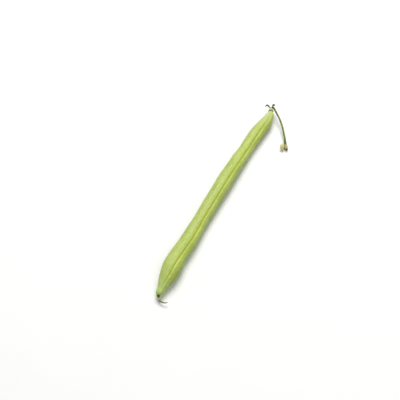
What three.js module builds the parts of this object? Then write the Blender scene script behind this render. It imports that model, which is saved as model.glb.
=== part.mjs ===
// A fresh green bean as picked, lying on its side on a level surface: the pod with its beak
// and dried style, the calyx cup round its neck with two bracteoles, and the curved stalk
// with a dry scale leaf beside its swollen, torn end.
// Millimetres. +X runs from the beak to the stalk, +Y is the pod's left, +Z is up.
import * as THREE from "three";

// Driving dimensions.
const POD_LENGTH = 134;
const POD_BREADTH = 9.4;
const POD_DEPTH_SHARE = 0.93;
const SUTURE_RISE_SHARE = 0.022;
const STALK_THICKNESS = 1.05;
const BRACTEOLE_THICKNESS = 0.35;
const SCALE_THICKNESS = 0.7;
const GAP = 0.3;

// Calyx cup: a small bowl with pointed teeth that the neck of the pod sits in.
const CUP_DEPTH = 1.8;
const CUP_FLOOR = 0.65;
const CUP_WALL = 0.25;
const CUP_BASE_RADIUS = 0.7;
const CUP_RIM_RADIUS = 1.2;
const CUP_TEETH = 5;
const CUP_TOOTH = 0.8;
const CUP_FLARE = 0.2;

// Facets of the bodies: sides round a section, and rings from one listed section to the next.
const POD_SIDES = 32;
const POD_RINGS_PER_SPAN = 4;
const CUP_SIDES = 40;
const STALK_SIDES = 10;
const STALK_RINGS_PER_SPAN = 4;
const LEAF_SIDES = 10;
const LEAF_RINGS_PER_SPAN = 3;

// The dried style: a thin tail that curls from the beak to the right. X, Y, Z and thickness.
const STYLE = [
  [-1.3, -5.7, 2.1, 0.2],
  [-1.9, -4.6, 1.8, 0.45],
  [-2.15, -3.2, 1.65, 0.6],
  [-1.9, -1.9, 1.75, 0.65],
  [-1.15, -0.85, 2.15, 0.85],
];

// The pod from the beak to the neck. Share of the length, offset of the axis to the left,
// clearance under the pod, share of the breadth, and turn of the suture from straight up
// towards the right, in degrees.
const POD = [
  [-0.002, -0.1, 2.1, 0.17, 29],
  [0.006, 0.1, 1.75, 0.33, 30],
  [0.024, 0.2, 1.3, 0.44, 32],
  [0.05, 0.4, 0.7, 0.65, 34],
  [0.082, 0.5, 0.15, 0.89, 35],
  [0.12, 0.85, 0, 1, 37],
  [0.17, 1.25, 0, 0.965, 45],
  [0.25, 0.8, 0, 0.92, 47],
  [0.36, 0.95, 0, 0.84, 45],
  [0.48, 0.95, 0, 0.865, 46],
  [0.6, 0.8, 0, 0.88, 47],
  [0.7, 0.5, 0, 0.815, 48],
  [0.75, 0.2, 0, 0.77, 48],
  [0.8, 0.05, 0, 0.79, 47],
  [0.865, -0.6, 0, 0.8, 44],
  [0.925, -1.65, 0.6, 0.69, 41],
  [0.963, -1.75, 1.7, 0.47, 38],
  [0.981, -1.3, 2.45, 0.3, 35],
  [0.99, -0.95, 2.85, 0.185, 35],
  [0.997, -0.65, 3.15, 0.13, 35],
];

// The stalk from the calyx to its torn end. X, Y, Z and share of the thickness.
const STALK = [
  [134.9, -0.25, 3.76, 1.2],
  [135.25, -0.22, 3.85, 1.15],
  [135.5, -0.65, 4.05, 1.1],
  [135.25, -1.35, 4.3, 1],
  [134.4, -2.15, 4.5, 0.95],
  [133.2, -3.25, 4.5, 0.95],
  [131.6, -5, 4.25, 0.9],
  [129.4, -7.3, 3.9, 0.9],
  [126.6, -9.7, 3.4, 0.85],
  [123.8, -11.7, 2.9, 0.85],
  [121, -13.5, 2.35, 0.85],
  [118.6, -15, 1.85, 0.9],
  [117.1, -15.7, 1.6, 1.05],
  [115.9, -16.35, 1.35, 1.45],
  [114.9, -17, 1.2, 1.7],
  [113.9, -17.65, 1.15, 1.65],
  [113, -18.25, 1.1, 1.45],
];

// Small dry leaves. X, Y, Z and breadth, from the base to the tip.
const BRACTEOLE_LEFT = [
  [134.3, 0.6, 4.25, 0.6],
  [134.7, 1.35, 4.75, 0.95],
  [134.95, 2.05, 4.9, 1.1],
  [134.8, 2.7, 4.6, 0.9],
  [134.35, 3.1, 4, 0.3],
];
const BRACTEOLE_RIGHT = [
  [135.3, -0.7, 5.05, 0.7],
  [135.75, -0.95, 5.4, 1.3],
  [136.2, -1.25, 5.4, 1.4],
  [136.5, -1.6, 5, 0.5],
];
const SCALE_LEAF = [
  [115, -15.2, 1.35, 1],
  [114.2, -15.3, 1.7, 1.7],
  [113.2, -15.65, 1.7, 2],
  [112.2, -15.9, 1.25, 1.7],
  [111.5, -16.05, 0.8, 0.8],
];

const UP = new THREE.Vector3(0, 0, 1);

function section(x, y, z, breadth, depth, turnDegrees = 0) {
  return {
    centre: new THREE.Vector3(x, y, z),
    size: new THREE.Vector3(breadth, depth, THREE.MathUtils.degToRad(turnDegrees)),
  };
}

// How far an oval section reaches below its centre once it is turned.
function reachBelow(breadth, depth, turnDegrees) {
  const turn = THREE.MathUtils.degToRad(turnDegrees);
  return Math.hypot((breadth / 2) * Math.sin(turn), (depth / 2) * Math.cos(turn));
}

// A closed body through a row of sections. Its depth direction starts from straight up and
// turns to the right as seen along the row. The ridge lifts the two sutures in that direction,
// by a share of the breadth.
function loft(sections, sides, ringsPerSpan, ridgeShare = 0) {
  const path = new THREE.CatmullRomCurve3(sections.map((s) => s.centre), false, "catmullrom");
  const sizes = new THREE.CatmullRomCurve3(sections.map((s) => s.size), false, "catmullrom");
  const rings = (sections.length - 1) * ringsPerSpan;
  const profile = [new THREE.Vector2(0, 0)];
  for (let ring = 0; ring <= rings; ring += 1) {
    profile.push(new THREE.Vector2(1, ring / rings));
  }
  profile.push(new THREE.Vector2(0, 1));
  const geometry = new THREE.LatheGeometry(profile, sides);
  const positions = geometry.getAttribute("position");
  for (let i = 0; i < positions.count; i += 1) {
    const along = positions.getY(i);
    const ahead = path.getTangent(along);
    const right = ahead.clone().cross(UP).normalize();
    const above = right.clone().cross(ahead);
    const [breadth, depth, turn] = sizes.getPoint(along).toArray();
    const across = (positions.getX(i) * breadth) / 2;
    const onSuture = Math.max(0, 2 * Math.abs(positions.getZ(i)) - 1) ** 8;
    const ridge = Math.sign(positions.getZ(i)) * ridgeShare * breadth * onSuture;
    const out = (positions.getZ(i) * depth) / 2 + ridge;
    const point = path.getPoint(along);
    point.addScaledVector(right, across * Math.cos(turn) + out * Math.sin(turn));
    point.addScaledVector(above, out * Math.cos(turn) - across * Math.sin(turn));
    positions.setXYZ(i, point.x, point.y, point.z);
  }
  geometry.computeVertexNormals();
  return geometry;
}

function mesh(name, geometry, colour, roughness) {
  const material = new THREE.MeshStandardMaterial({ color: colour, roughness, metalness: 0 });
  const made = new THREE.Mesh(geometry, material);
  made.name = name;
  return made;
}

function pod() {
  const style = STYLE.map(([x, y, z, thickness]) => section(x, y, z, thickness, thickness, 23));
  const body = POD.map(([share, left, clearance, breadthShare, turn]) => {
    const breadth = POD_BREADTH * breadthShare;
    const depth = breadth * POD_DEPTH_SHARE;
    const height = clearance + reachBelow(breadth, depth, turn);
    return section(POD_LENGTH * share, left, height, breadth, depth, turn);
  });
  const sections = [...style, ...body];
  const geometry = loft(sections, POD_SIDES, POD_RINGS_PER_SPAN, SUTURE_RISE_SHARE);
  const made = mesh("pod", geometry, 0x9dbb4f, 0.5);
  made.userData.neck = sections.at(-1).centre;
  made.userData.beforeNeck = sections.at(-3).centre;
  return made;
}

// The cup stands on its base at the origin and opens along its own +Y.
function calyxGeometry() {
  const inner = CUP_RIM_RADIUS - CUP_WALL;
  const profile = [
    [0, 0],
    [CUP_BASE_RADIUS, 0],
    [CUP_RIM_RADIUS - 0.25, CUP_DEPTH * 0.3],
    [CUP_RIM_RADIUS, CUP_DEPTH * 0.65],
    [CUP_RIM_RADIUS + 0.05, CUP_DEPTH],
    [inner + 0.15, CUP_DEPTH],
    [inner - 0.05, CUP_DEPTH * 0.65],
    [inner - 0.2, CUP_FLOOR],
    [0, CUP_FLOOR],
  ].map(([radius, height]) => new THREE.Vector2(radius, height));
  const geometry = new THREE.LatheGeometry(profile, CUP_SIDES);
  const positions = geometry.getAttribute("position");
  for (let i = 0; i < positions.count; i += 1) {
    const x = positions.getX(i);
    const z = positions.getZ(i);
    const height = positions.getY(i);
    const point = 1 - Math.abs(Math.sin((CUP_TEETH * Math.atan2(x, z)) / 2));
    const tooth = height >= CUP_DEPTH ? point : 0;
    const flare = 1 + CUP_FLARE * tooth;
    positions.setXYZ(i, x * flare, height + CUP_TOOTH * tooth, z * flare);
  }
  geometry.computeVertexNormals();
  return geometry;
}

function calyx(neck, beforeNeck) {
  const made = mesh("calyx", calyxGeometry(), 0xb9ad84, 0.8);
  const towardsPod = beforeNeck.clone().sub(neck).normalize();
  made.position.copy(neck).addScaledVector(towardsPod, -(CUP_FLOOR + GAP));
  made.quaternion.setFromUnitVectors(new THREE.Vector3(0, 1, 0), towardsPod);
  return made;
}

function stalk() {
  const sections = STALK.map(([x, y, z, share]) => {
    const thickness = STALK_THICKNESS * share;
    return section(x, y, z, thickness, thickness);
  });
  return mesh("stalk", loft(sections, STALK_SIDES, STALK_RINGS_PER_SPAN), 0x7f8440, 0.65);
}

function smallLeaf(name, rows, thickness, colour) {
  const sections = rows.map(([x, y, z, breadth]) => section(x, y, z, breadth, thickness));
  return mesh(name, loft(sections, LEAF_SIDES, LEAF_RINGS_PER_SPAN), colour, 0.85);
}

const bean = new THREE.Group();
const podMesh = pod();
bean.add(
  podMesh,
  calyx(podMesh.userData.neck, podMesh.userData.beforeNeck),
  smallLeaf("bracteole_left", BRACTEOLE_LEFT, BRACTEOLE_THICKNESS, 0x4e4a2c),
  smallLeaf("bracteole_right", BRACTEOLE_RIGHT, BRACTEOLE_THICKNESS, 0x5a5232),
  stalk(),
  smallLeaf("scale_leaf", SCALE_LEAF, SCALE_THICKNESS, 0xd6c8a0),
);

// The origin goes to the middle of the bean's box, on the surface it lies on.
bean.updateMatrixWorld(true);
const box = new THREE.Box3().setFromObject(bean, true);
const middle = box.getCenter(new THREE.Vector3());
bean.position.set(-middle.x, -middle.y, -box.min.z);

const group = new THREE.Group();
group.name = "green_bean";
group.add(bean);

export default group;
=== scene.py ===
import math

import bpy
import numpy as np
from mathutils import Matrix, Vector, noise


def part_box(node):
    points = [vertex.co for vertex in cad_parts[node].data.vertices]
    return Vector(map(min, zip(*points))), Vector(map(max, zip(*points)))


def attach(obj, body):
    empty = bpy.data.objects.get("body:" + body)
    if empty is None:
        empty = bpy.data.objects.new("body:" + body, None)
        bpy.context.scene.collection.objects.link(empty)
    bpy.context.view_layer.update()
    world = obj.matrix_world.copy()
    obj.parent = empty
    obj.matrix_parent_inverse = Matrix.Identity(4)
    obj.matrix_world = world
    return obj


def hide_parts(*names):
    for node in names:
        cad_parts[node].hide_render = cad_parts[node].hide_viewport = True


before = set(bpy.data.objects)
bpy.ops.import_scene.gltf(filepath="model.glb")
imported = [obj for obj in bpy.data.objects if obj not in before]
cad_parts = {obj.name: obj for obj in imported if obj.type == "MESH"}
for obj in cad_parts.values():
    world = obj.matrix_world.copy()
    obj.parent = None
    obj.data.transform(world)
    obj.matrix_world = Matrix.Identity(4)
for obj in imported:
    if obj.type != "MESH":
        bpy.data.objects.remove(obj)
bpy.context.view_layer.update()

# Lengths are in metres and angles in degrees. The shapes below are the CAD part's, made again
# with a fine surface. X runs from the beak to the stalk, Y to the pod's left, Z up.

POD_LENGTH = 0.134
POD_BREADTH = 0.0094
POD_DEPTH_SHARE = 0.93
STALK_THICKNESS = 0.00105
BRACTEOLE_THICKNESS = 0.00035
SCALE_THICKNESS = 0.0007
STYLE_TURN = 23

# The dried style at the beak. X, Y, Z and thickness.
STYLE = [
    (-0.0013, -0.0057, 0.0021, 0.0002),
    (-0.0019, -0.0046, 0.0018, 0.00045),
    (-0.00215, -0.0032, 0.00165, 0.0006),
    (-0.0019, -0.0019, 0.00175, 0.00065),
    (-0.00115, -0.00085, 0.00215, 0.00085),
]

# The pod from beak to neck. Share of the length, offset of the axis to the left, clearance
# under the pod, share of the breadth, and turn of the suture from straight up to the right.
POD = [
    (-0.002, -0.0001, 0.0021, 0.17, 29),
    (0.006, 0.0001, 0.00175, 0.33, 30),
    (0.024, 0.0002, 0.0013, 0.44, 32),
    (0.05, 0.0004, 0.0007, 0.65, 34),
    (0.082, 0.0005, 0.00015, 0.89, 35),
    (0.12, 0.00085, 0.0, 1, 37),
    (0.17, 0.00125, 0.0, 0.965, 45),
    (0.25, 0.0008, 0.0, 0.92, 47),
    (0.36, 0.00095, 0.0, 0.84, 45),
    (0.48, 0.00095, 0.0, 0.865, 46),
    (0.6, 0.0008, 0.0, 0.88, 47),
    (0.7, 0.0005, 0.0, 0.815, 48),
    (0.75, 0.0002, 0.0, 0.77, 48),
    (0.8, 0.00005, 0.0, 0.79, 47),
    (0.865, -0.0006, 0.0, 0.8, 44),
    (0.925, -0.00165, 0.0006, 0.69, 41),
    (0.963, -0.00175, 0.0017, 0.47, 38),
    (0.981, -0.0013, 0.00245, 0.3, 35),
    (0.99, -0.00095, 0.00285, 0.185, 35),
    (0.997, -0.00065, 0.00315, 0.13, 35),
]

# The stalk from the calyx to its torn end. X, Y, Z and share of the thickness.
STALK = [
    (0.1349, -0.00025, 0.00376, 1.2),
    (0.13525, -0.00022, 0.00385, 1.15),
    (0.1355, -0.00065, 0.00405, 1.1),
    (0.13525, -0.00135, 0.0043, 1),
    (0.1344, -0.00215, 0.0045, 0.95),
    (0.1332, -0.00325, 0.0045, 0.95),
    (0.1316, -0.005, 0.00425, 0.9),
    (0.1294, -0.0073, 0.0039, 0.9),
    (0.1266, -0.0097, 0.0034, 0.85),
    (0.1238, -0.0117, 0.0029, 0.85),
    (0.121, -0.0135, 0.00235, 0.85),
    (0.1186, -0.015, 0.00185, 0.9),
    (0.1171, -0.0157, 0.0016, 1.05),
    (0.1159, -0.01635, 0.00135, 1.45),
    (0.1149, -0.017, 0.0012, 1.7),
    (0.1139, -0.01765, 0.00115, 1.65),
    (0.113, -0.01825, 0.0011, 1.45),
]

# Small dry leaves, from base to tip. X, Y, Z and breadth.
SMALL_LEAVES = {
    "bracteole_left": [
        (0.1343, 0.0006, 0.00425, 0.0006),
        (0.1347, 0.00135, 0.00475, 0.00095),
        (0.13495, 0.00205, 0.0049, 0.0011),
        (0.1348, 0.0027, 0.0046, 0.0009),
        (0.13435, 0.0031, 0.004, 0.0003),
    ],
    "bracteole_right": [
        (0.1353, -0.0007, 0.00505, 0.0007),
        (0.13575, -0.00095, 0.0054, 0.0013),
        (0.1362, -0.00125, 0.0054, 0.0014),
        (0.1365, -0.0016, 0.005, 0.0005),
    ],
    "scale_leaf": [
        (0.115, -0.0152, 0.00135, 0.001),
        (0.1142, -0.0153, 0.0017, 0.0017),
        (0.1132, -0.01565, 0.0017, 0.002),
        (0.1122, -0.0159, 0.00125, 0.0017),
        (0.1115, -0.01605, 0.0008, 0.0008),
    ],
}

# The calyx cup with its pointed teeth, and the gap that the CAD keeps between its bodies.
CUP_DEPTH = 0.0018
CUP_FLOOR = 0.00065
CUP_WALL = 0.00025
CUP_BASE_RADIUS = 0.0007
CUP_RIM_RADIUS = 0.0012
CUP_TEETH = 5
CUP_TOOTH = 0.0008
CUP_FLARE = 0.2
GAP = 0.0003

# Where the stalk and the small leaves start inside their neighbours, which closes the gaps
# that the CAD part leaves. X, Y, Z and breadth.
ROOTS = {
    "stalk": (0.1344, -0.0004, 0.00376, 0.0012),
    "bracteole_left": (0.13475, -0.0001, 0.00395, 0.0005),
    "bracteole_right": (0.1351, -0.00045, 0.0043, 0.0005),
    "scale_leaf": (0.1154, -0.0162, 0.0013, 0.0008),
}

# Sides round the fine bodies.
POD_SIDES = 128
CUP_SIDES = 80
THIN_SIDES = 32

# Relief of the stalk, the small leaves and the calyx.
STALK_RIDGES = 5
STALK_RIDGE_HEIGHT = 0.00004
STALK_GRAIN_HEIGHT = 0.00007
STALK_WAIST = 0.9
STALK_WAIST_DEPTH = 0.00016
MIDRIB_DEPTH = 0.00006
LEAF_CRUMPLE = 0.00014
CUP_RIB_HEIGHT = 0.00005
CUP_CRUMPLE = 0.00006

# The torn end of the stalk: how ragged its rim is, and the hollow in it, as shares of the
# end's radius with their depths.
TEAR = 0.00035
PIT = [(0.84, -0.00006), (0.68, 0.0001), (0.52, 0.00045), (0.3, 0.0007)]

# Relief of the pod's skin.
SEEDS = [0.018, 0.040, 0.059, 0.077, 0.0945, 0.1135]
SEED_SPREAD = 0.0046
SEED_BULGE = 0.00016
LIP_RISE = 0.00013
LIP_HALF_WIDTH = 0.00045
GROOVE_OFFSET = -0.0009
GROOVE_DEPTH = 0.00013
GROOVE_HALF_WIDTH = 0.00026
FAR_LIP_OFFSET = -0.0016
FAR_LIP_RISE = 0.00006
FAR_LIP_HALF_WIDTH = 0.0005
BACK_SUTURE_RISE = 0.00012
BACK_SUTURE_HALF_WIDTH = 0.0005
SUTURE_WANDER = 0.0001
SUTURE_WANDER_LENGTH = 0.0093
SWELL_HEIGHT = 0.00006
SWELL_SIZE = 0.0032
GRAIN_HEIGHT = 0.00002
GRAIN_SIZE = 0.0011
WRINKLE_HEIGHT = 0.00005
WRINKLES_ROUND = 9
WRINKLED_PLACES = [0.0018, 0.1325]
WRINKLED_HALF_LENGTH = 0.0022


# ---------------------------------------------------------------- shapes

def through(points, at):
    """Catmull-Rom values and slopes at shares `at` of the way through the points."""
    points = np.asarray(points, float)
    spans = len(points) - 1
    before = 2 * points[0] - points[1]
    after = 2 * points[-1] - points[-2]
    padded = np.vstack([before, points, after])
    span = np.clip(np.floor(at * spans).astype(int), 0, spans - 1)
    t = (at * spans - span)[:, None]
    p0, p1, p2, p3 = (padded[span + k] for k in range(4))
    slope1 = (p2 - p0) / 2
    slope2 = (p3 - p1) / 2
    a = 2 * p1 - 2 * p2 + slope1 + slope2
    b = 3 * p2 - 3 * p1 - 2 * slope1 - slope2
    values = ((a * t + b) * t + slope1) * t + p1
    slopes = (3 * a * t + 2 * b) * t + slope1
    return values, slopes


def unit(vectors):
    return vectors / np.linalg.norm(vectors, axis=1, keepdims=True)


class Sweep:
    """Sections along a row of (x, y, z, breadth, depth, turn), closer where it is thin."""

    def __init__(self, rows, least_spacing, spacing_per_breadth):
        rows = np.asarray(rows, float)
        fine = np.linspace(0, 1, 4000)
        values, _ = through(rows, fine)
        steps = np.linalg.norm(np.diff(values[:, :3], axis=0), axis=1)
        wanted = least_spacing + spacing_per_breadth * np.abs(values[1:, 3])
        count = np.concatenate([[0], np.cumsum(steps / wanted)])
        rings = int(math.ceil(count[-1])) + 1
        at = np.interp(np.linspace(0, count[-1], rings), count, fine)
        values, slopes = through(rows, at)
        self.centre = values[:, :3]
        self.breadth = values[:, 3]
        self.depth = values[:, 4]
        self.turn = np.radians(values[:, 5])
        self.distance = np.interp(at, fine, np.concatenate([[0], np.cumsum(steps)]))
        self.ahead = unit(slopes[:, :3])
        self.right = unit(np.cross(self.ahead, (0, 0, 1)))
        self.above = np.cross(self.right, self.ahead)

    def points(self, across, out):
        """Places `across` to the right and `out` towards the suture, one row per section."""
        cos, sin = np.cos(self.turn)[:, None], np.sin(self.turn)[:, None]
        to_right = (across * cos + out * sin)[..., None] * self.right[:, None, :]
        to_above = (out * cos - across * sin)[..., None] * self.above[:, None, :]
        return self.centre[:, None, :] + to_right + to_above


def closed_tube(name, rings, layers):
    """A mesh through rings of points, closed by a fan at each end, with named point layers."""
    count, sides = rings.shape[:2]
    ends = np.stack([rings[0].mean(0), rings[-1].mean(0)])
    vertices = np.concatenate([rings.reshape(-1, 3), ends])
    first, last = count * sides, count * sides + 1
    faces = []
    for ring in range(count - 1):
        low, high = ring * sides, (ring + 1) * sides
        for side in range(sides):
            after = (side + 1) % sides
            faces.append((low + side, low + after, high + after, high + side))
    top = (count - 1) * sides
    for side in range(sides):
        after = (side + 1) % sides
        faces.append((first, after, side))
        faces.append((last, top + side, top + after))
    mesh = bpy.data.meshes.new(name)
    mesh.from_pydata(vertices.tolist(), [], faces)
    for layer, values in layers.items():
        values = np.asarray(values, float)
        end_values = np.stack([values[0].mean(0), values[-1].mean(0)])
        flat = np.concatenate([values.reshape((-1,) + values.shape[2:]), end_values])
        vector = flat.ndim == 2
        made = mesh.attributes.new(layer, "FLOAT_VECTOR" if vector else "FLOAT", "POINT")
        made.data.foreach_set("vector" if vector else "value", flat.ravel())
    mesh.shade_smooth()
    mesh.validate()
    piece = bpy.data.objects.new(name, mesh)
    bpy.context.scene.collection.objects.link(piece)
    return piece


def bump(distance, half_width):
    return np.exp(-((distance / half_width) ** 2))


def smooth_step(low, high, value):
    t = np.clip((value - low) / (high - low), 0, 1)
    return t * t * (3 - 2 * t)


def field(points, size, noise_seed):
    """Smooth noise from -1 to 1 at an array of points, with features of about `size`."""
    offset = Vector((17.3, 5.1, 9.7)) * noise_seed
    flat = points.reshape(-1, 3) / size
    values = [noise.noise(Vector(p) + offset) for p in flat.tolist()]
    return np.array(values).reshape(points.shape[:-1])


def reach_below(breadth, depth, turn):
    angle = math.radians(turn)
    return math.hypot(breadth / 2 * math.sin(angle), depth / 2 * math.cos(angle))


def pod_rows():
    rows = [(x, y, z, thick, thick, STYLE_TURN) for x, y, z, thick in STYLE]
    for share, left, clearance, breadth_share, turn in POD:
        breadth = POD_BREADTH * breadth_share
        depth = breadth * POD_DEPTH_SHARE
        height = clearance + reach_below(breadth, depth, turn)
        rows.append((POD_LENGTH * share, left, height, breadth, depth, turn))
    return rows


def even_angles(sides):
    return np.arange(sides)[None, :] / sides * 2 * math.pi


def pod_angles(sides):
    """Angles from the suture: packed closely beside it, and widest apart on the flanks."""
    even = even_angles(sides)
    return even - 0.42 * np.sin(even) - 0.2 * np.sin(2 * even)


def make_pod():
    sweep = Sweep(pod_rows(), 0.00007, 0.03)
    angle = pod_angles(POD_SIDES)
    signed = np.where(angle > math.pi, angle - 2 * math.pi, angle)
    half_breadth = sweep.breadth[:, None] / 2
    half_depth = sweep.depth[:, None] / 2
    across = np.sin(angle) * half_breadth
    out = np.cos(angle) * half_depth
    along = np.broadcast_to(sweep.centre[:, :1], across.shape)
    straight = np.stack([along, across, out], axis=-1)

    radius = (half_breadth + half_depth) / 2
    wander = np.sin(along / SUTURE_WANDER_LENGTH) * smooth_step(0.01, 0.03, along)
    from_suture = signed * radius + SUTURE_WANDER * wander
    from_back = (math.pi - np.abs(signed)) * radius
    seed = sum(bump(along - place, SEED_SPREAD) for place in SEEDS)

    # Relief that fades where the pod is thin, then grain all over and wrinkles at both ends.
    relief = SEED_BULGE * (seed - 0.4) * np.sin(angle) ** 2
    relief += LIP_RISE * bump(from_suture, LIP_HALF_WIDTH)
    relief -= GROOVE_DEPTH * bump(from_suture - GROOVE_OFFSET, GROOVE_HALF_WIDTH)
    relief += FAR_LIP_RISE * bump(from_suture - FAR_LIP_OFFSET, FAR_LIP_HALF_WIDTH)
    relief += BACK_SUTURE_RISE * bump(from_back, BACK_SUTURE_HALF_WIDTH)
    relief += SWELL_HEIGHT * field(straight * (0.45, 1, 1), SWELL_SIZE, 1)
    relief *= smooth_step(0.0025, 0.006, sweep.breadth)[:, None]
    relief += GRAIN_HEIGHT * field(straight * (0.4, 1, 1), GRAIN_SIZE, 2)
    wrinkled = sum(bump(along - place, WRINKLED_HALF_LENGTH) for place in WRINKLED_PLACES)
    wrinkled *= smooth_step(0.0008, 0.002, sweep.breadth)[:, None]
    wrinkles = np.sin(angle * WRINKLES_ROUND + 2 * np.sin(along / 0.002))
    relief += WRINKLE_HEIGHT * wrinkles * wrinkled

    rings = sweep.points(across + np.sin(angle) * relief, out + np.cos(angle) * relief)
    layers = {
        "straight": straight,
        "from_beak": along,
        "from_suture": from_suture,
        "from_back": from_back,
        "along_style": np.broadcast_to(sweep.distance[:, None], across.shape),
        "seed": seed,
    }
    return closed_tube("bean_pod", rings, layers)


def make_stalk():
    """A thin ridged body that starts in the calyx and ends in a torn, hollow stump."""
    rows = [ROOTS["stalk"]]
    rows += [(x, y, z, STALK_THICKNESS * share) for x, y, z, share in STALK]
    sweep = Sweep([(x, y, z, thick, thick, 0) for x, y, z, thick in rows], 0.00006, 0.06)
    angle = even_angles(THIN_SIDES)
    across = np.sin(angle) * sweep.breadth[:, None] / 2
    out = np.cos(angle) * sweep.depth[:, None] / 2
    along = np.broadcast_to(sweep.distance[:, None], across.shape)
    straight = np.stack([along, across, out], axis=-1)
    share = along / sweep.distance[-1]
    relief = STALK_RIDGE_HEIGHT * np.cos(STALK_RIDGES * angle + along / 0.004)
    relief += STALK_GRAIN_HEIGHT * field(straight * (0.4, 1, 1), 0.0005, 3)
    relief -= STALK_WAIST_DEPTH * bump(share - STALK_WAIST, 0.012)
    rings = sweep.points(across + np.sin(angle) * relief, out + np.cos(angle) * relief)
    ragged = TEAR * field(straight, 0.0005, 4) * smooth_step(0.95, 1, share)
    rings = rings + ragged[..., None] * sweep.ahead[:, None, :]

    rim = rings[-1]
    middle = rim.mean(0)
    for radius_share, depth in PIT:
        sunk = middle + (rim - middle) * radius_share - sweep.ahead[-1] * depth
        rings = np.concatenate([rings, sunk[None]])
        inner = straight[-1] * (1, radius_share, radius_share)
        straight = np.concatenate([straight, inner[None]])
        share = np.concatenate([share, np.full((1, THIN_SIDES), 2 - radius_share)])
    return closed_tube("bean_stalk", rings, {"straight": straight, "share": share})


def make_small_leaf(node, rows, thickness, noise_seed):
    """A cupped leaf with a midrib and a crumpled edge."""
    rows = [ROOTS[node]] + rows
    sweep = Sweep([(x, y, z, breadth, thickness, 0) for x, y, z, breadth in rows], 0.00005, 0.02)
    angle = even_angles(THIN_SIDES)
    half_breadth = sweep.breadth[:, None] / 2
    across = np.sin(angle) * half_breadth
    taper = np.minimum(1, half_breadth / thickness)
    out = np.cos(angle) * thickness / 2 * taper
    along = np.broadcast_to(sweep.distance[:, None], across.shape)
    straight = np.stack([along, across, out], axis=-1)
    cup = 0.5 * across**2 / np.maximum(half_breadth, 1e-6)
    midrib = MIDRIB_DEPTH * bump(across, 0.00012)
    crumple = LEAF_CRUMPLE * field(straight, 0.0006, noise_seed) * taper
    rings = sweep.points(across, out + cup - midrib + crumple)
    share = along / sweep.distance[-1]
    return closed_tube("bean_" + node, rings, {"straight": straight, "share": share})


def make_calyx(neck, towards_pod):
    """A thin cup with pointed teeth, standing on the stalk end and open towards the pod."""
    inner = CUP_RIM_RADIUS - CUP_WALL
    outline = [
        (0.0, 0.0),
        (CUP_BASE_RADIUS, 0.0),
        (CUP_RIM_RADIUS - 0.00025, CUP_DEPTH * 0.3),
        (CUP_RIM_RADIUS, CUP_DEPTH * 0.65),
        (CUP_RIM_RADIUS + 0.00005, CUP_DEPTH),
        (inner + 0.00015, CUP_DEPTH),
        (inner - 0.00005, CUP_DEPTH * 0.65),
        (inner - 0.0002, CUP_FLOOR),
        (0.0, CUP_FLOOR),
    ]
    profile, _ = through([(r, h, 0) for r, h in outline], np.linspace(0, 1, 66)[1:-1])
    radius = np.maximum(profile[:, 0], 0.00002)[:, None]
    height = profile[:, 1][:, None]
    angle = even_angles(CUP_SIDES)
    tooth = 1 - np.abs(np.sin(CUP_TEETH * angle / 2))
    near_rim = smooth_step(CUP_DEPTH * 0.5, CUP_DEPTH, height)
    rise = CUP_TOOTH * tooth * near_rim
    rib = CUP_RIB_HEIGHT * np.cos(2 * CUP_TEETH * angle) * smooth_step(0, 0.001, height)
    wide = radius * (1 + CUP_FLARE * tooth * near_rim) + rib
    local = np.stack([wide * np.sin(angle), wide * np.cos(angle), height + rise], axis=-1)
    crumple = CUP_CRUMPLE * field(local, 0.0006, 4) * smooth_step(0, 0.0008, radius)
    local += crumple[..., None]
    axis = unit(np.array([towards_pod]))[0]
    side = unit(np.cross([axis], [(0, 0, 1)]))[0]
    turned = np.cross(side, axis)
    base = neck - axis * (CUP_FLOOR + GAP)
    rings = base + local[..., :1] * side + local[..., 1:2] * turned + local[..., 2:] * axis
    rings = rings[:, ::-1]
    share = (height + rise)[:, ::-1] / (CUP_DEPTH + CUP_TOOTH)
    return closed_tube("bean_calyx", rings, {"straight": local[:, ::-1], "share": share})


# ---------------------------------------------------------------- materials

def linear(code):
    """A linear colour from a hex code."""
    parts = [int(code[i:i + 2], 16) / 255 for i in (0, 2, 4)]
    return [p / 12.92 if p <= 0.04045 else ((p + 0.055) / 1.055) ** 2.4 for p in parts] + [1.0]


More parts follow.
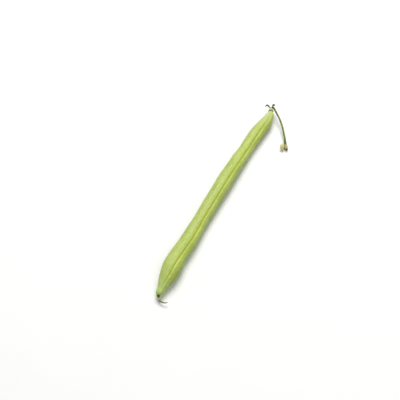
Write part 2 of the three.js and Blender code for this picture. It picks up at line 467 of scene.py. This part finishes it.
class Graph:
    """A material's node tree, built from small helpers."""

    def __init__(self, name):
        self.material = bpy.data.materials.new(name)
        self.material.use_nodes = True
        self.tree = self.material.node_tree
        self.shader = self.tree.nodes["Principled BSDF"]

    def put(self, socket, value):
        if isinstance(value, bpy.types.NodeSocket):
            self.tree.links.new(value, socket)
        else:
            socket.default_value = value

    def add(self, kind, inputs, **settings):
        node = self.tree.nodes.new(kind)
        for key, value in settings.items():
            setattr(node, key, value)
        for key, value in inputs.items():
            self.put(node.inputs[key], value)
        return node

    def layer(self, name, output="Fac"):
        return self.add("ShaderNodeAttribute", {}, attribute_name=name).outputs[output]

    def math(self, operation, a, b=0.0):
        return self.add("ShaderNodeMath", {0: a, 1: b}, operation=operation).outputs[0]

    def stretch(self, vector, scale):
        inputs = {"Vector": vector, "Scale": scale}
        return self.add("ShaderNodeMapping", inputs).outputs[0]

    def noise(self, vector, scale, detail=3.0, roughness=0.5):
        inputs = {"Vector": vector, "Scale": scale, "Detail": detail, "Roughness": roughness}
        return self.add("ShaderNodeTexNoise", inputs).outputs["Fac"]

    def span(self, value, low, high, out_low=0.0, out_high=1.0):
        """value from low..high turned smoothly into out_low..out_high, and held beyond."""
        inputs = {0: value, 1: low, 2: high, 3: out_low, 4: out_high}
        return self.add("ShaderNodeMapRange", inputs, interpolation_type="SMOOTHSTEP").outputs[0]

    def band(self, value, centre, half_width):
        """1 at centre, falling to 0 at half_width either side."""
        away = self.math("ABSOLUTE", self.math("SUBTRACT", value, centre))
        return self.span(away, 0.0, half_width, 1.0, 0.0)

    def times(self, a, b):
        return self.math("MULTIPLY", a, b)

    def mix(self, factor, a, b):
        inputs = {0: factor, 6: a, 7: b}
        return self.add("ShaderNodeMix", inputs, data_type="RGBA").outputs[2]

    def tint(self, colour, factor, code):
        """The colour with a share of a hex colour laid over it."""
        return self.mix(factor, colour, linear(code))

    def bump(self, height, distance, strength, normal=None):
        inputs = {"Height": height, "Distance": distance, "Strength": strength}
        if normal is not None:
            inputs["Normal"] = normal
        return self.add("ShaderNodeBump", inputs).outputs[0]

    def finish(self, inputs):
        for key, value in inputs.items():
            self.put(self.shader.inputs[key], value)
        return self.material


def skin_base(g, clouds, streaks, from_beak, seed):
    """Yellow-green skin with fine streaks, paler over the seeds and on a stretch by the neck."""
    colour = g.mix(g.span(clouds, 0.3, 0.7), linear("97ad46"), linear("aec058"))
    colour = g.tint(colour, g.span(streaks, 0.35, 0.75, 0.0, 0.4), "bdc875")
    colour = g.tint(colour, g.span(streaks, 0.5, 0.2, 0.0, 0.4), "829a3a")
    colour = g.tint(colour, g.times(seed, 0.18), "b3c36c")
    pale_stretch = g.band(from_beak, 0.104, 0.018)
    return g.tint(colour, g.times(pale_stretch, 0.3), "c2cc78")


def skin_flanks(g, colour, straight, from_suture, from_back):
    """Painted sheen on the lit left flank and painted shade, a deeper green, on the right one."""
    sides = g.span(from_back, 0.002, 0.006)
    # Painted sheen: pale patches on the lit left flank.
    sheen_patches = g.span(g.noise(g.stretch(straight, (0.5, 1.0, 1.0)), 480.0, 3.0, 0.6), 0.35, 0.65)
    left = g.times(g.span(from_suture, -0.0012, -0.0035), sides)
    colour = g.tint(colour, g.times(g.times(left, sheen_patches), 0.45), "b4be74")
    # Painted shade: the right flank darker and greener, as if turned from the light.
    right = g.times(g.span(from_suture, 0.0011, 0.003), sides)
    return g.tint(colour, g.times(right, 0.75), "7f9b1a")


def skin_sutures(g, colour, clouds, from_beak, from_suture, from_back, seed):
    """A yellow stretch beside the suture, its pale lip with a painted highlight, painted shade in
    its groove, and the suture behind.
    """
    past_beak = g.span(from_beak, 0.004, 0.015, 0.25, 1.0)
    near_suture = g.times(g.band(from_suture, -0.0006, 0.0034), past_beak)
    colour = g.tint(colour, g.times(near_suture, 0.65), "b2bf46")
    # The lip's own pale tone, brightened further as a painted highlight where the ridge catches
    # the light.
    lip_tone_and_highlight = g.times(g.band(from_suture, 0.00005, 0.0009), past_beak)
    lip_share = g.span(g.math("ADD", seed, clouds), 0.4, 1.5, 0.5, 1.0)
    colour = g.tint(colour, g.times(lip_tone_and_highlight, lip_share), "cbda6a")
    # Painted shade: the groove darkened where shade falls in it.
    groove_shade = g.band(from_suture, GROOVE_OFFSET, 0.0005)
    colour = g.tint(colour, g.times(groove_shade, 0.8), "8f9c32")
    back = g.band(from_back, 0.0, 0.0011)
    return g.tint(colour, g.times(back, 0.5), "aab858")


def skin_mottle(g, colour, straight):
    mottle = g.noise(g.stretch(straight, (0.4, 1.0, 1.0)), 1500.0, 3.0, 0.55)
    colour = g.tint(colour, g.span(mottle, 0.52, 0.22, 0.0, 0.55), "8ba23f")
    return g.tint(colour, g.span(mottle, 0.48, 0.78, 0.0, 0.55), "cad482")


def skin_ends(g, colour, straight, from_beak, from_suture, along_style):
    """Paler beak and neck, more so on the lit left flank as painted light, the brown tip of the
    beak, and the dried style with a painted highlight near the pod.
    """
    # The beak's and neck's paleness is their own, painted stronger on the lit left flank and
    # weaker on the shaded right as painted light.
    lit_left_share = g.span(from_suture, 0.0005, -0.0015, 0.3, 1.0)
    beak_pale = g.times(g.span(from_beak, 0.012, 0.002, 0.0, 0.75), lit_left_share)
    colour = g.tint(colour, beak_pale, "b1c87c")
    neck_pale = g.times(g.span(from_beak, 0.113, 0.1325, 0.0, 0.85), lit_left_share)
    colour = g.tint(colour, neck_pale, "bfc988")
    blotch = g.math("ADD", from_beak, g.times(g.noise(straight, 1600.0), 0.0016))
    colour = g.tint(colour, g.span(blotch, 0.0009, 0.0003), "464a1a")
    style = g.span(along_style, 0.0062, 0.0058)
    style_colour = g.mix(g.noise(straight, 2400.0), linear("4f5c1a"), linear("6f7a30"))
    colour = g.mix(style, colour, style_colour)
    # Painted highlight: a pale band on the style near the pod.
    return g.tint(colour, g.band(along_style, 0.0052, 0.0012), "b9b98c")


def pod_material():
    g = Graph("pod_skin")
    straight = g.layer("straight", "Vector")
    from_beak = g.layer("from_beak")
    from_suture = g.layer("from_suture")
    from_back = g.layer("from_back")
    seed = g.layer("seed")
    clouds = g.noise(g.stretch(straight, (0.35, 1.0, 1.0)), 260.0, 3.0, 0.55)
    streaks = g.noise(g.stretch(straight, (0.12, 1.0, 1.0)), 1500.0, 4.0, 0.6)
    fine = g.noise(straight, 4200.0, 2.0, 0.5)
    spots = g.add("ShaderNodeTexVoronoi", {"Vector": straight, "Scale": 900.0}).outputs["Distance"]

    colour = skin_base(g, clouds, streaks, from_beak, seed)
    colour = skin_flanks(g, colour, straight, from_suture, from_back)
    colour = g.tint(colour, g.span(spots, 0.22, 0.08, 0.0, 0.3), "c4cd94")
    colour = skin_sutures(g, colour, clouds, from_beak, from_suture, from_back, seed)
    colour = skin_mottle(g, colour, straight)
    colour = skin_ends(g, colour, straight, from_beak, from_suture, g.layer("along_style"))

    height = g.math("ADD", g.times(streaks, 0.7), g.times(fine, 0.3))
    normal = g.bump(height, 0.00006, 0.6)
    normal = g.bump(g.span(spots, 0.25, 0.05), 0.00002, 0.4, normal)
    dry = g.span(from_beak, 0.002, 0.0, 0.0, 0.35)
    return g.finish({
        "Base Color": colour,
        "Roughness": g.math("ADD", g.span(clouds, 0.3, 0.7, 0.4, 0.52), dry),
        "Normal": normal,
        "Specular IOR Level": 0.3,
        "Sheen Weight": 0.05,
        "Sheen Roughness": 0.4,
        "Sheen Tint": (0.93, 1.0, 0.8, 1.0),
        "Subsurface Weight": 0.12,
        "Subsurface Radius": (0.9, 1.0, 0.35),
        "Subsurface Scale": 0.0012,
    })


def stalk_material():
    g = Graph("stalk")
    straight = g.layer("straight", "Vector")
    share = g.layer("share")
    drawn_out = g.stretch(straight, (0.1, 1.0, 1.0))
    streaks = g.noise(drawn_out, 4500.0, 4.0, 0.6)
    clouds = g.noise(straight, 700.0, 3.0, 0.6)
    colour = g.mix(g.span(streaks, 0.35, 0.65), linear("566b10"), linear("768b22"))
    colour = g.tint(colour, g.span(share, 0.5, 0.1, 0.0, 0.8), "5a5a1e")
    colour = g.tint(colour, g.span(share, 0.1, 0.05), "b5b07a")
    colour = g.tint(colour, g.span(share, 0.74, 0.84, 0.0, 0.85), "4c5212")
    colour = g.tint(colour, g.span(share, 0.88, 0.93), "a8a06c")
    colour = g.tint(colour, g.span(clouds, 0.55, 0.75, 0.0, 0.6), "5b5220")
    # The hollow of the torn end darker brown: a brown, dry end, deepened with painted shade in the
    # hollow.
    colour = g.tint(colour, g.span(share, 1.15, 1.45), "4f4622")
    normal = g.bump(streaks, 0.00012, 0.8)
    rough = g.span(clouds, 0.3, 0.7, 0.5, 0.75)
    return g.finish({"Base Color": colour, "Roughness": rough, "Normal": normal})


def dry_material(name, dark, light, edge):
    """Withered leaf: mottled, darker or paler towards its tip, with fine veins."""
    g = Graph(name)
    straight = g.layer("straight", "Vector")
    share = g.layer("share")
    veins = g.noise(g.stretch(straight, (0.15, 1.0, 1.0)), 5200.0, 4.0, 0.6)
    clouds = g.noise(straight, 1500.0, 4.0, 0.6)
    colour = g.mix(g.span(clouds, 0.35, 0.65), linear(dark), linear(light))
    colour = g.tint(colour, g.span(share, 0.45, 1.0, 0.0, 0.85), edge)
    colour = g.tint(colour, g.span(veins, 0.55, 0.35, 0.0, 0.35), dark)
    normal = g.bump(veins, 0.0001, 0.8)
    rough = g.span(clouds, 0.3, 0.7, 0.65, 0.9)
    return g.finish({"Base Color": colour, "Roughness": rough, "Normal": normal})


def floor_material():
    g = Graph("white_table")
    where = g.add("ShaderNodeTexCoord", {}).outputs["Object"]
    mottle = g.noise(where, 30.0, 3.0, 0.5)
    colour = g.mix(mottle, linear("ededeb"), linear("f1f1ef"))
    return g.finish({"Base Color": colour, "Roughness": 0.75, "Specular IOR Level": 0.2})


# ---------------------------------------------------------------- pieces

pod = make_pod()
stalk = make_stalk()
neck_rows = np.array(pod_rows())
calyx = make_calyx(neck_rows[-1, :3], neck_rows[-3, :3] - neck_rows[-1, :3])
leaves = {}
for noise_seed, (node, rows) in enumerate(SMALL_LEAVES.items(), 5):
    thickness = SCALE_THICKNESS if node == "scale_leaf" else BRACTEOLE_THICKNESS
    leaves[node] = make_small_leaf(node, rows, thickness, noise_seed)

# Every piece moves by the same step, which brings the pod's low corner onto its CAD node's.
own = np.array([v.co for v in pod.data.vertices])
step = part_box("pod")[0] - Vector(own.min(0))
dry_bract = dry_material("dry_bract", "45480f", "767a2c", "3a3c0e")
dry_scale = dry_material("dry_scale", "b4ae70", "d6d298", "c6c088")
finishes = [
    (pod, "pod", "pod_skin", pod_material()),
    (stalk, "stalk", "stalk", stalk_material()),
    (calyx, "calyx", "calyx", dry_material("calyx", "a5a06a", "d2cf9e", "8d8550")),
    (leaves["bracteole_left"], "bracteole_left", "dry_bract", dry_bract),
    (leaves["bracteole_right"], "bracteole_right", "dry_bract", dry_bract),
    (leaves["scale_leaf"], "scale_leaf", "dry_scale", dry_scale),
]
for piece, node, slot, material in finishes:
    for vertex in piece.data.vertices:
        vertex.co += step
    piece.data.materials.append(material)
    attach(piece, "root")
    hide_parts(node)


# ---------------------------------------------------------------- stage

FLOOR_SIZE = 8.0
CAMERA_DISTANCE = 0.562
CAMERA_AZIMUTH = -64.66
CAMERA_ELEVATION = 50.0
LENS = 100.0
AIM_FROM_POD = Vector((-0.0025, 0.0084, 0.0))
WORLD_STRENGTH = 0.18


def direction(azimuth, elevation):
    """From the object towards a camera or lamp. Azimuth 0 stands at -Y, 90 at +X."""
    a, e = math.radians(azimuth), math.radians(elevation)
    return Vector((math.sin(a) * math.cos(e), -math.cos(a) * math.cos(e), math.sin(e)))


def add_floor():
    bpy.ops.mesh.primitive_plane_add(size=FLOOR_SIZE, location=(0, 0, 0))
    floor = bpy.context.object
    floor.name = "floor"
    floor.data.materials.append(floor_material())


def add_lamp(name, azimuth, elevation, distance, size, power):
    lamp = bpy.data.lights.new(name, "AREA")
    lamp.shape = "DISK"
    lamp.size = size
    lamp.energy = power
    holder = bpy.data.objects.new(name, lamp)
    bpy.context.scene.collection.objects.link(holder)
    holder.location = direction(azimuth, elevation) * distance
    holder.rotation_euler = holder.location.to_track_quat("Z", "Y").to_euler()


def add_camera():
    camera = bpy.data.objects.new("camera", bpy.data.cameras.new("camera"))
    bpy.context.scene.collection.objects.link(camera)
    camera.data.lens = LENS
    back = direction(CAMERA_AZIMUTH, CAMERA_ELEVATION)
    low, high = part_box("pod")
    aim = (low + high) / 2 + AIM_FROM_POD
    aim.z = 0
    camera.location = aim + back * CAMERA_DISTANCE
    camera.rotation_euler = back.to_track_quat("Z", "Y").to_euler()
    bpy.context.scene.camera = camera


def add_world():
    world = bpy.data.worlds.new("studio")
    world.use_nodes = True
    background = world.node_tree.nodes["Background"]
    background.inputs["Color"].default_value = (1.0, 1.0, 1.0, 1.0)
    background.inputs["Strength"].default_value = WORLD_STRENGTH
    bpy.context.scene.world = world


add_floor()
add_lamp("key", CAMERA_AZIMUTH + 180, elevation=62, distance=1.2, size=0.9, power=15.5)
add_lamp("fill", CAMERA_AZIMUTH + 40, elevation=55, distance=1.5, size=1.0, power=6.0)
add_camera()
add_world()
bpy.context.scene.view_settings.view_transform = "Standard"
